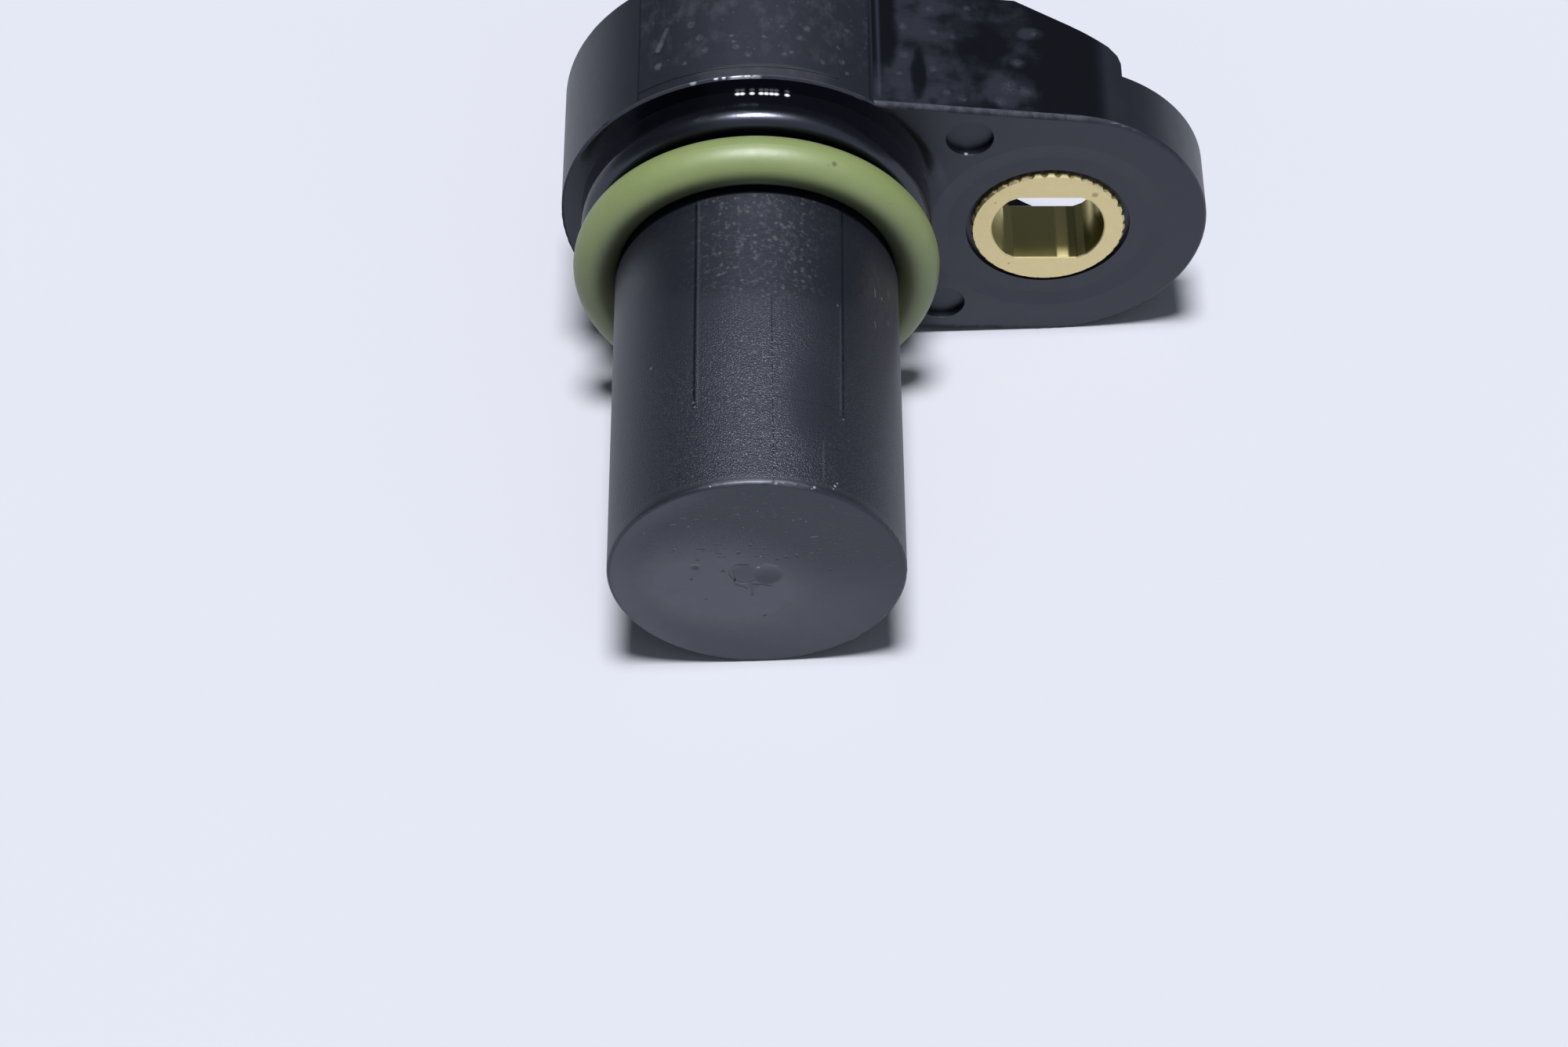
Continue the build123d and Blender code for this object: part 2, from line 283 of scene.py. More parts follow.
    def specks(self, scale, share, radius, shift=(0, 0, 0), ragged=0.25):
        """Scattered ragged specks. Share is the part of the cells that holds one, radius is in cell widths."""
        n = self.tree.nodes.new("ShaderNodeTexVoronoi")
        m = self.tree.nodes.new("ShaderNodeVectorMath")
        m.operation = "ADD"
        self.put(self.p, m.inputs[0])
        m.inputs[1].default_value = shift
        self.tree.links.new(m.outputs[0], n.inputs["Vector"])
        n.inputs["Scale"].default_value = scale
        pick = self.split(n.outputs["Color"])[0]
        size = Val(self, n.outputs["Distance"]) + ragged * (self.noise(scale * 3.5, 2.0, 0.6, shift=shift) - 0.5)
        return self.step(size, radius * 1.3, radius * 0.7) * self.step(pick, 1 - share - 0.001, 1 - share + 0.001)

    def spot(self, x, y, z, radius, soft=0.3):
        return self.step(self.far(x, y, z), radius * (1 + soft), radius * (1 - soft))

    def scratch(self, a, b, width):
        """1 along the straight mark from a to b."""
        a, b = Vector(a), Vector(b)
        d = b - a
        sub = self.tree.nodes.new("ShaderNodeVectorMath")
        sub.operation = "SUBTRACT"
        self.tree.links.new(self.p, sub.inputs[0])
        sub.inputs[1].default_value = a
        dot = self.tree.nodes.new("ShaderNodeVectorMath")
        dot.operation = "DOT_PRODUCT"
        self.tree.links.new(sub.outputs[0], dot.inputs[0])
        dot.inputs[1].default_value = d / d.length_squared
        t = self.math("MAXIMUM", self.math("MINIMUM", Val(self, dot.outputs["Value"]), 1.0), 0.0)
        scaled = self.tree.nodes.new("ShaderNodeVectorMath")
        scaled.operation = "SCALE"
        scaled.inputs[0].default_value = d
        self.put(t, scaled.inputs["Scale"])
        rest = self.tree.nodes.new("ShaderNodeVectorMath")
        rest.operation = "DISTANCE"
        self.tree.links.new(sub.outputs[0], rest.inputs[0])
        self.tree.links.new(scaled.outputs[0], rest.inputs[1])
        return self.step(Val(self, rest.outputs["Value"]), width, width * 0.3)

    def most(self, *values):
        found = values[0]
        for v in values[1:]:
            found = self.math("MAXIMUM", found, v)
        return found

    def clamp(self, value):
        if isinstance(value, (int, float)):
            return value
        n = self.tree.nodes.new("ShaderNodeClamp")
        self.put(value, n.inputs[0])
        return Val(self, n.outputs[0])

    def mix(self, factor, a, b):
        if isinstance(factor, (int, float)) and factor == 0:
            return a
        n = self.tree.nodes.new("ShaderNodeMix")
        n.data_type = "RGBA"
        self.put(factor, n.inputs[0])
        for value, socket in ((a, n.inputs[6]), (b, n.inputs[7])):
            if isinstance(value, bpy.types.NodeSocket):
                self.tree.links.new(value, socket)
            else:
                socket.default_value = (*value, 1.0)
        return n.outputs[2]

    def blend(self, factor, a, b):
        """Number from a to b."""
        if isinstance(factor, (int, float)) and factor == 0:
            return a
        n = self.tree.nodes.new("ShaderNodeMix")
        n.data_type = "FLOAT"
        self.put(factor, n.inputs[0])
        self.put(a, n.inputs[2])
        self.put(b, n.inputs[3])
        return Val(self, n.outputs[0])

    def finish(self, colour, rough, height=None, **fixed):
        """height is in millimetres."""
        self.tree.links.new(colour, self.shader.inputs["Base Color"])
        self.put(rough, self.shader.inputs["Roughness"])
        if height is not None:
            bump = self.tree.nodes.new("ShaderNodeBump")
            bump.inputs["Strength"].default_value = 1.0
            bump.inputs["Distance"].default_value = MM
            self.put(height, bump.inputs["Height"])
            self.tree.links.new(bump.outputs[0], self.shader.inputs["Normal"])
        for name, value in fixed.items():
            self.shader.inputs[name.replace("_", " ")].default_value = value
        # Nodes that lead nowhere are left out.
        used, queue = set(), [self.out]
        while queue:
            n = queue.pop()
            if n.name in used:
                continue
            used.add(n.name)
            queue += [link.from_node for socket in n.inputs for link in socket.links]
        for n in [n for n in self.tree.nodes if n.name not in used]:
            self.tree.nodes.remove(n)
        return self.mat


def wear(name, material):
    mesh = node[name].data
    mesh.materials.clear()
    mesh.materials.append(material)


def rounded(points, corners, normals, limit):
    """Splits the edges across which a surface turns by more than limit degrees, and lays the new points on the curve."""
    count = len(corners)
    low = np.minimum(corners, np.roll(corners, -1, 1)).ravel()
    high = np.maximum(corners, np.roll(corners, -1, 1)).ravel()
    _, first, edge = np.unique(low.astype(np.int64) * len(points) + high, return_index=True, return_inverse=True)
    edge = edge.reshape(-1)
    last = np.zeros(len(first), int)
    last[edge] = np.arange(len(edge))
    here, there = normals.reshape(-1, 3), np.roll(normals, -1, 1).reshape(-1, 3)
    split = np.zeros(len(first), bool)
    np.logical_or.at(split, edge, (here * there).sum(1) < math.cos(math.radians(limit)))
    start, end = low[first], high[first]
    chord = points[end] - points[start]
    length = np.linalg.norm(chord, axis=1, keepdims=True)
    tangents = []
    for at_start in (True, False):
        sides = []
        for which in (first, last):
            forward = (corners.ravel()[which] == start)[:, None]
            sides.append(np.where(forward == at_start, here[which], there[which]))
        mean = sides[0] + sides[1]
        mean /= np.maximum(np.linalg.norm(mean, axis=1, keepdims=True), 1e-9)
        level = chord - (chord * mean).sum(1, keepdims=True) * mean
        crease = np.cross(sides[0], sides[1])
        size = np.linalg.norm(crease, axis=1, keepdims=True)
        crease = crease / np.maximum(size, 1e-9) * np.sign((crease * chord).sum(1, keepdims=True)) * length
        tangent = np.where(size > 0.05, crease, level)
        stray = (tangent * chord).sum(1, keepdims=True) < 0.8 * length * length
        tangents.append(np.where(stray, chord, tangent))
    middle = (points[start] + points[end]) / 2 + (tangents[0] - tangents[1]) / 8
    fresh = np.full(len(first), -1)
    fresh[split] = len(points) + np.arange(split.sum())
    points = np.vstack([points, middle[split]])
    mids = fresh[edge].reshape(count, 3)
    halves = here + there
    halves = (halves / np.linalg.norm(halves, axis=1, keepdims=True)).reshape(count, 3, 3)
    ids = np.hstack([corners, mids])                  # corners 0 to 2, edge middles 3 to 5
    turned = np.concatenate([normals, halves], 1)
    cuts = mids >= 0
    made, made_normals = [], []

    def take(rows, *picks):
        for pick in picks:
            made.append(np.stack([ids[rows, pick[:, k] if pick.ndim == 2 else pick[k]] for k in range(3)], 1))
            made_normals.append(
                np.stack([turned[rows, pick[:, k] if pick.ndim == 2 else pick[k]] for k in range(3)], 1)
            )

    total = cuts.sum(1)
    take(np.where(total == 0)[0], np.array([0, 1, 2]))
    take(
        np.where(total == 3)[0],
        np.array([0, 3, 5]), np.array([3, 1, 4]), np.array([5, 4, 2]), np.array([3, 4, 5]),
    )
    for k in range(3):
        a, b, c = k, (k + 1) % 3, (k + 2) % 3
        rows = np.where((total == 1) & cuts[:, k])[0]
        take(rows, np.array([a, 3 + k, c]), np.array([3 + k, b, c]))
        # Two edges cut: a-b and b-c.
        rows = np.where((total == 2) & ~cuts[:, c])[0]
        if len(rows):
            one = np.linalg.norm(points[ids[rows, a]] - points[ids[rows, 3 + b]], axis=1)
            two = np.linalg.norm(points[ids[rows, 3 + a]] - points[ids[rows, c]], axis=1)
            take(rows, np.array([3 + a, b, 3 + b]))
            take(rows[one <= two], np.array([a, 3 + a, 3 + b]), np.array([a, 3 + b, c]))
            take(rows[one > two], np.array([a, 3 + a, c]), np.array([3 + a, 3 + b, c]))
    return points, np.concatenate(made), np.concatenate(made_normals)


def sound(corners, normals):
    """Leaves out triangles with two corners in one place, and pairs of triangles that lie back to back."""
    a, b, c = corners.T
    whole = (a != b) & (b != c) & (c != a)
    corners, normals = corners[whole], normals[whole]
    _, group, count = np.unique(np.sort(corners, 1), axis=0, return_inverse=True, return_counts=True)
    single = count[group.reshape(-1)] == 1
    return corners[single], normals[single]


def smooth_copy(name, slot, limits, *materials, place=None):
    """A copy of a node with the same shape and finer rounds, which stands for it. place gives each face its material."""
    source = node[name].data
    points = np.empty(len(source.vertices) * 3)
    source.vertices.foreach_get("co", points)
    points = points.reshape(-1, 3)
    loops = np.empty(len(source.loops), int)
    source.loops.foreach_get("vertex_index", loops)
    normals = np.empty(len(source.loops) * 3)
    source.corner_normals.foreach_get("vector", normals)
    normals = normals.reshape(-1, 3, 3)
    lowest, highest = points.min(0), points.max(0)
    _, keep, weld = np.unique(np.round(points * 1e7).astype(np.int64), axis=0, return_index=True, return_inverse=True)
    points, corners = points[keep], weld.reshape(-1)[loops].reshape(-1, 3)
    corners, normals = sound(corners, normals)
    for limit in limits:
        points, corners, normals = rounded(points, corners, normals, limit)
    corners, normals = sound(corners, normals)
    points = np.clip(points, lowest, highest)
    used, corners = np.unique(corners, return_inverse=True)
    points, corners = points[used], corners.reshape(-1, 3)
    mesh = bpy.data.meshes.new(name + "_fine")
    mesh.from_pydata(points.tolist(), [], corners.tolist())
    if mesh.validate():                     # custom normals need a sound mesh; without one the CAD piece stays
        print("fine mesh", name, "isn't sound and is left out")
        return None
    mesh.polygons.foreach_set("use_smooth", np.ones(len(corners), bool))
    mesh.normals_split_custom_set(normals.reshape(-1, 3).tolist())
    for material in materials:
        mesh.materials.append(material)
    if place is not None:
        mesh.polygons.foreach_set("material_index", place(points[corners].mean(1) * 1000.0).astype(np.int32))
    obj = bpy.data.objects.new(name + "_fine", mesh)
    scene.collection.objects.link(obj)
    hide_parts(name)
    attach(obj, "root")
    print("fine mesh", name, len(source.polygons), "to", len(mesh.polygons), "triangles")
    return obj


# ---- black moulded plastic ----------------------------------------------
def plastic(region):
    """The housing's finish, with the marks that one region of it carries."""
    g = Graph("housing_plastic_" + region)
    radial = g.math("SQRT", g.x * g.x + g.z * g.z)
    base = g.mix(g.noise(0.35, 4.0, 0.6), (0.0012, 0.0015, 0.0032), (0.0022, 0.0026, 0.0050))
    rough = 0.40 + 0.08 * g.noise(0.9, 4.0, 0.6, shift=(5, 5, 1))
    skin = 0.0030 * g.noise(5.0, 3.0, 0.6) + 0.008 * g.noise(0.7, 3.0, 0.5)
    parts = {"tip": tip_marks, "barrel": barrel_marks, "collar": collar_marks, "head": head_marks, "ear": ear_marks}
    base, rough, height = parts[region](g, radial, base, rough, skin)
    return g.finish(base, rough, height, IOR=1.5, Specular_IOR_Level=0.75, Specular_Tint=(0.775, 0.805, 1.0, 1.0))


def tip_marks(g, radial, base, rough, skin):
    """The probe's flat end: a paler film that is partly painted reflection, pits, flow marks and the gate mark."""
    pits = g.near(
        0.12,
        (-3.72, -29, 0.56, 0.26), (-3.88, -29, -0.63, 0.13), (-3.63, -29, 1.31, 0.12), (-1.26, -29, 2.2, 0.14),
        (-0.63, -29, 3.01, 0.12), (1.09, -29, 1.74, 0.13), (1.6, -29, 1.99, 0.12), (0.8, -29, -3.98, 0.1),
        (0.74, -29, -4.04, 0.12), (2.16, -29, 2.24, 0.1), (2.23, -29, 2.11, 0.1), (-2.06, -29, 0.34, 0.14),
        (0.24, -29, 2.74, 0.12), (-5.1, -29, 2.2, 0.09), (4.3, -29, 0.9, 0.08), (-2.9, -29, -2.6, 0.08),
        soft=0.5,
    )
    dashes = g.most(
        g.scratch((-3.66, -29, 2.41), (-3.3, -29, 2.42), 0.09), g.scratch((-2.75, -29, 2.92), (-2.35, -29, 2.9), 0.09),
        g.scratch((-2.6, -29, 2.05), (-2.28, -29, 2.06), 0.09), g.scratch((-2.42, -29, 1.72), (-2.1, -29, 1.72), 0.09),
        g.scratch((0.2, -29, 2.13), (0.55, -29, 2.14), 0.08), g.scratch((-0.2, -29, 1.92), (0.18, -29, 1.93), 0.08),
    )
    flow = g.noise(2.3, 3.0, 0.6, stretch=(0.8, 1, 3.0), shift=(2, 0, 3))
    flow = flow + 0.22 * (g.noise(0.5, 2.0, 0.5, shift=(6, 0, 2)) - 0.5)
    flow = g.step(flow, 0.58, 0.68) * g.step(g.z, 0.4, 2.4) * g.step(radial, 8.7, 7.9)
    flow = g.most(flow, g.step(radial, 8.7, 7.6) * g.specks(1.15, 0.30, 0.07, shift=(0.3, 0.2, 0.1), ragged=0.2) * 0.8)
    scar_edge = g.most(
        g.scratch((-1.3, -29, 0.98), (-0.55, -29, 1.02), 0.14), g.scratch((-1.42, -29, 0.2), (-1.3, -29, -0.7), 0.13),
        g.scratch((-1.2, -29, -0.95), (-0.65, -29, -1.2), 0.13), g.scratch((-0.18, -29, -1.39), (-0.14, -29, -1.99), 0.13),
        g.scratch((-0.2, -29, -0.85), (0.9, -29, -0.95), 0.12), g.near(0.1, (-0.53, -29, -1.34), soft=0.5),
    )
    # Pale specks and scuffs; the dots in and at the gate mark are painted glints.
    pale = g.most(
        g.scratch((0.35, -28.95, 1.20), (1.15, -28.97, 1.02), 0.14) * 0.09, g.near(0.07, (0.05, -28.95, 0.73), soft=0.4),
        g.near(0.06, (-0.09, -28.9, -0.75), soft=0.4) * 0.5, g.scratch((-5.4, -29, 4.65), (-5.1, -29, 4.7), 0.05) * 0.22,
        g.scratch((-4.9, -29, 5.35), (-4.5, -29, 5.33), 0.05) * 0.16, g.scratch((2.95, -29, 4.0), (3.3, -29, 4.12), 0.05) * 0.3,
        g.near(0.05, (-4.35, -29, 4.55), (-5.0, -29, 2.25), (1.75, -29, 5.6), (2.5, -29, 5.5), (-0.4, -29, 6.3), soft=0.5) * 0.3,
    )
    in_gate = g.most(g.near(0.9, (0.62, -29, 0.05), soft=0.18), 0.8 * g.near(0.72, (-0.75, -29, 0.1), soft=0.25))
    in_gate = g.most(in_gate, 0.7 * g.near(0.34, (-0.15, -29, -1.05), soft=0.4))
    dark = g.most(pits, dashes * 0.9, flow * 0.8, scar_edge * 0.9)
    # Paler film, partly real and partly painted reflection of the floor: lighter towards the centre-left, the lower
    # right, the left edge and the bottom.
    film_and_painted_glow = g.clamp(
        1.15 * g.flat(g.x, g.z, -2.6, -1.0, 4.2, 3.6, 0.75)
        + 0.35 * g.flat(g.x, g.z, 2.6, -3.4, 4.0, 3.0, 0.8)
        + 0.45 * g.step(radial, 7.0, 8.8) * g.step(g.x, -2.0, -6.0)
        + 0.22 * g.step(g.z, 3.0, -2.0)
    )
    film_and_painted_glow = film_and_painted_glow * (0.7 + 0.6 * g.noise(1.2, 4.0, 0.6, shift=(7, 7, 7))) * (1.0 - dark) * (1.0 - 0.75 * in_gate)
    base = g.mix(film_and_painted_glow, base, (0.050, 0.050, 0.062))
    base = g.mix(pale, base, (0.36, 0.36, 0.38))
    rough = g.blend(in_gate * 0.7, rough, 0.26)
    rough = g.blend(dark, rough, 0.10)
    return base, rough, skin - 0.022 * flow - 0.05 * g.most(pits, dashes, scar_edge)


def barrel_marks(g, radial, base, rough, skin):
    """Spark-eroded grain of the barrel, fine towards the tip, coarse and blotched near the groove, and its marks, with
    painted glints and painted highlights where the lamp's highlight falls.
    """
    angle = g.math("ARCTAN2", g.x, g.z) * (180.0 / math.pi)     # degrees from +Z towards the ear
    on = g.step(g.y, -6.0, -6.4) * g.step(g.y, -28.98, -28.8)
    grained = on * g.step(g.y, -28.66, -28.35)
    upper = g.step(g.y + 14.85 - 0.0011 * angle * angle, -1.0, 1.0)
    fine = g.noise(12.0, 2.0, 0.55)
    beads = g.step(g.cells(9.0, shift=(3, 1, 5)), 0.6, 0.05)
    coarse = g.noise(3.0, 3.0, 0.6, distortion=0.5, shift=(7, 3, 2))
    blotch = g.noise(1.3, 3.0, 0.6, shift=(1, 9, 4))
    sharp = g.step(g.y, -12.0, -22.0)
    calm = g.flat(g.x, g.y, 2.6, -22.2, 1.5, 3.4, 0.5)             # smoother patch
    low_height = (0.006 + 0.012 * sharp) * fine + (0.004 + 0.014 * sharp) * beads
    high_height = 0.012 * coarse + 0.010 * blotch
    height = grained * g.blend(upper, low_height * (1.0 - 0.55 * calm), high_height) + 0.4 * skin
    # Painted sparkle glints in the fine grain, brightest in the band where the lamp's highlight falls.
    lit = g.step(g.math("ABSOLUTE", angle + 4.0), 27.0, 5.0)
    painted_sparkle_glints = grained * (1.0 - upper) * (0.12 + 0.88 * lit) * (0.25 + 0.75 * sharp) * (1.0 - calm)
    painted_sparkle_glints = painted_sparkle_glints * g.most(g.specks(6.2, 0.30, 0.24, shift=(2, 6, 1)), 0.6 * g.specks(9.5, 0.40, 0.30, shift=(5, 1, 1)))
    bloom = g.step(g.noise(2.6, 4.0, 0.68, shift=(3, 8, 2)), 0.50, 0.74)
    # Painted glints over the blotched zone near the groove, within the lamp's highlight.
    painted_glints = grained * upper * g.step(g.math("ABSOLUTE", angle + 3.0), 32.0, 10.0)
    painted_glints = painted_glints * g.most(
        bloom * 0.6,
        g.specks(2.4, 0.34, 0.30, shift=(4, 1, 7), ragged=0.5) * 0.7,
        g.specks(4.4, 0.22, 0.17, shift=(1, 1, 7)),
    )
    # The mould insert's two edges, each with a painted highlight beside it, and its centre line, scratches and dots.
    left_edge_painted_highlight = on * g.line(angle, -26.9, 0.75) * g.span(g.y, -22.6, -6.6, 0.3)
    left_dark = on * g.line(angle, -28.4, 0.8) * g.span(g.y, -22.8, -6.6, 0.3)
    right_edge = angle - 0.08 * (g.y + 14.0)
    right_edge_painted_highlight = on * g.line(right_edge, 30.2, 0.7) * g.span(g.y, -22.8, -14.2, 0.5)
    right_dark = on * g.line(right_edge, 31.5, 0.8) * g.span(g.y, -23.0, -6.6, 0.5)
    centre_line = 0.6 * on * g.line(g.x + 0.006 * (g.y + 20.0), 0.3, 0.055) * g.step(g.y, -14.6, -15.2)
    centre_line = centre_line * g.step(g.z, 5.0, 6.0)
    scrapes = g.most(
        g.scratch((6.91, -11.0, 5.76), (6.93, -11.6, 5.74), 0.06),
        g.scratch((7.86, -9.9, 4.37), (7.96, -10.2, 4.2), 0.06),
        g.scratch((6.83, -13.7, 5.86), (6.91, -14.1, 5.77), 0.06),
        g.scratch((7.82, -12.4, 4.45), (7.84, -12.8, 4.42), 0.06),
        g.near(0.09, (-6.81, -18.22, 5.89), (7.4, -11.2, 5.12), soft=0.5),
        g.near(0.075, (-4.23, -22.7, 7.94), (-4.3, -22.35, 7.9), (4.6, -23.0, 7.73), (4.35, -14.3, 7.88), soft=0.5),
    )
    long_scrape = on * g.scratch((3.35, -25.2, 8.36), (3.3, -28.2, 8.37), 0.07) * 0.45
    # Pale dots along the rim: painted glints.
    rim_painted_glint_dots = g.near(
        0.08, (0.49, -28.93, 8.97, 0.11), (2.62, -28.94, 8.6, 0.08), (2.75, -28.8, 8.57), (4.0, -28.27, 8.06),
        (3.9, -28.5, 8.11, 0.06), (4.15, -28.0, 7.99, 0.05), (-3.3, -28.9, 8.35, 0.05), (6.37, -29.0, -6.35, 0.12), soft=0.5
    )
    # Patchy painted highlight along the rim, where the lamp's highlight falls.
    rim_painted_highlight = g.span(g.y, -28.97, -28.68, 0.08) * g.step(g.math("ABSOLUTE", angle + 4.0), 25.0, 8.0)
    rim_painted_highlight = g.clamp(rim_painted_highlight * (1.8 * g.noise(2.2, 3.0, 0.6, shift=(1, 5, 5)) - 0.25))
    strip = on * g.span(g.y, -28.66, -28.3, 0.15)                    # smooth strip above the rim
    # Painted highlights beside the insert's edges, painted glints and the rim's painted highlight.
    base = g.mix(g.most(left_edge_painted_highlight, right_edge_painted_highlight) * 0.6, base, (0.018, 0.018, 0.021))
    base = g.mix(painted_sparkle_glints, base, (0.100, 0.095, 0.090))
    base = g.mix(painted_glints * 0.85, base, (0.045, 0.045, 0.050))
    base = g.mix(rim_painted_highlight, base, (0.060, 0.060, 0.066))
    base = g.mix(on * scrapes * 0.8, base, (0.080, 0.076, 0.074))
    base = g.mix(long_scrape, base, (0.030, 0.030, 0.034))
    base = g.mix(rim_painted_glint_dots * 0.8, base, (0.22, 0.22, 0.23))
    base = g.mix(strip * 0.5, base, (0.010, 0.010, 0.013))
    rough = g.blend(on, rough, g.blend(upper, 0.50, 0.44 + 0.08 * bloom))
    rough = g.blend(on * g.most(left_dark, right_dark, centre_line), rough, 0.16)
    return base, rough, height


def collar_marks(g, radial, base, rough, skin):
    """The glossy shoulder and the O-ring's groove, with a row of painted glints in the shoulder's corner."""
    on = g.step(g.y, -2.9, -2.8)
    fillet = g.step(g.y, -1.35, -1.75) * on * g.step(radial, 10.4, 10.7)
    # A row of white dots in the corner between shoulder and head: painted glints.
    corner_painted_glints = g.most(*(
        g.flat(g.x, g.y, at, -0.16, 0.15, 0.11, 0.5) for at in (-1.95, -1.66, -1.06, -0.49, -0.17, 0.16, 0.45, 1.13)
    ))
    corner_painted_glints = corner_painted_glints * g.step(g.z, 9.0, 10.0)
    base = g.mix(on, base, (0.0010, 0.0011, 0.0018))
    base = g.mix(corner_painted_glints, base, (0.50, 0.48, 0.50))
    rough = g.blend(on, rough, 0.15)
    rough = g.blend(fillet, rough, 0.27)
    return base, rough, skin


def head_marks(g, radial, base, rough, skin):
    """The round head: pale dust and streaks on top, and broken painted glints along its front edge."""
    angle = g.math("ARCTAN2", g.x, g.z) * (180.0 / math.pi)
    on = g.step(g.y, 0.0, 0.12)
    corner = g.step(radial, 12.38, 12.46) * g.step(g.y, 0.2, 0.1) * g.step(g.x, 6.6, 6.2)
    ragged = g.step(g.noise(6.0, 3.0, 0.6, shift=(2, 2, 9)), 0.30, 0.62)
    zone = on * g.span(angle, -39.4, 30.5, 2.5) * g.step(g.y, 1.4, 2.6)
    mottle = g.step(g.noise(1.1, 5.0, 0.62, stretch=(1, 0.6, 1), shift=(3, 3, 8)), 0.46, 0.72)
    dust = g.specks(2.1, 0.42, 0.16, shift=(9, 2, 4), ragged=0.35)
    flecks = g.near(
        0.17,
        (-4.41, 3.85, 11.86, 0.2), (-2.16, 2.64, 12.46, 0.17), (-2.4, 3.65, 12.42, 0.13), (0.74, 4.43, 12.63, 0.13),
        (2.33, 4.52, 12.43, 0.2), (1.84, 3.63, 12.51, 0.17), (4.34, 3.55, 11.88, 0.12), (4.95, 5.37, 11.64, 0.15),
        (4.57, 2.45, 11.8, 0.19), (-0.37, 3.46, 12.64, 0.15), (-4.96, 5.13, 11.64, 0.2), (-1.39, 1.93, 12.57, 0.17),
        (0.88, 2.04, 12.62, 0.14), (-4.09, 2.67, 11.97, 0.2), (-2.3, 3.1, 12.44, 0.13), (3.3, 1.9, 12.2, 0.14),
        (4.9, 1.6, 11.66, 0.13), (1.3, 2.3, 12.58, 0.12), (-5.3, 1.9, 11.45, 0.14),
        soft=0.8,
    )
    streak = g.most(
        g.scratch((-6.43, 5.32, 10.89), (-6.95, 3.84, 10.57), 0.24) * 0.6,
        g.scratch((-6.78, 4.3, 10.68), (-6.95, 3.84, 10.57), 0.3),
        g.near(0.24, (-6.92, 2.41, 10.59), soft=0.6),
    )
    band = on * g.span(angle, -19.5, 16.5, 5.0) * g.span(g.y, 0.12, 0.86, 0.12)
    arc = on * g.span(angle, -21.0, 18.0, 6.0) * g.line(g.y + 0.0006 * angle * angle, 1.0, 0.22)
    lines = on * g.most(g.line(angle, -39.9, 0.7), g.line(angle, 30.4, 0.7))
    # Broken painted glints along the head's front edge.
    painted_glints = g.most(
        g.near(0.22, (-4.79, 0.14, 11.71, 0.2), (-3.38, 0.10, 12.19, 0.16), (-2.9, 0.10, 12.29, 0.14), soft=0.5),
        g.span(g.x, -2.5, -0.7, 0.5) * g.step(g.noise(2.6, 2.0, 0.5, shift=(1, 1, 3)), 0.36, 0.5),
    )
    painted_glints = corner * painted_glints * g.step(g.z, 8.0, 9.0)
    shade = g.step(g.y, 2.0, 7.5) * 0.35 + 0.65
    base = g.mix(zone * mottle * 0.9 * shade, base, (0.0145, 0.0148, 0.0190))
    base = g.mix(zone * dust * 0.5, base, (0.026, 0.026, 0.030))
    base = g.mix(on * flecks * ragged * 0.75, base, (0.040, 0.041, 0.048))
    base = g.mix(on * streak * (0.35 + 0.65 * ragged), base, (0.040, 0.040, 0.047))
    base = g.mix(band * (0.55 + 0.5 * mottle), base, (0.0150, 0.0145, 0.0180))
    base = g.mix(arc * 0.7, base, (0.0150, 0.0150, 0.0180))
    base = g.mix(painted_glints * 0.8, base, (0.14, 0.14, 0.15))
    rough = g.blend(on, rough, 0.42 + 0.07 * g.noise(1.4, 4.0, 0.65, shift=(8, 1, 1)))
    rough = g.blend(lines * 0.7, rough, 0.2)
    rough = g.blend(corner, rough, 0.95)
    rough = g.blend(painted_glints, rough, 0.3)
    return base, rough, skin + 0.004 * on * g.most(flecks, streak)


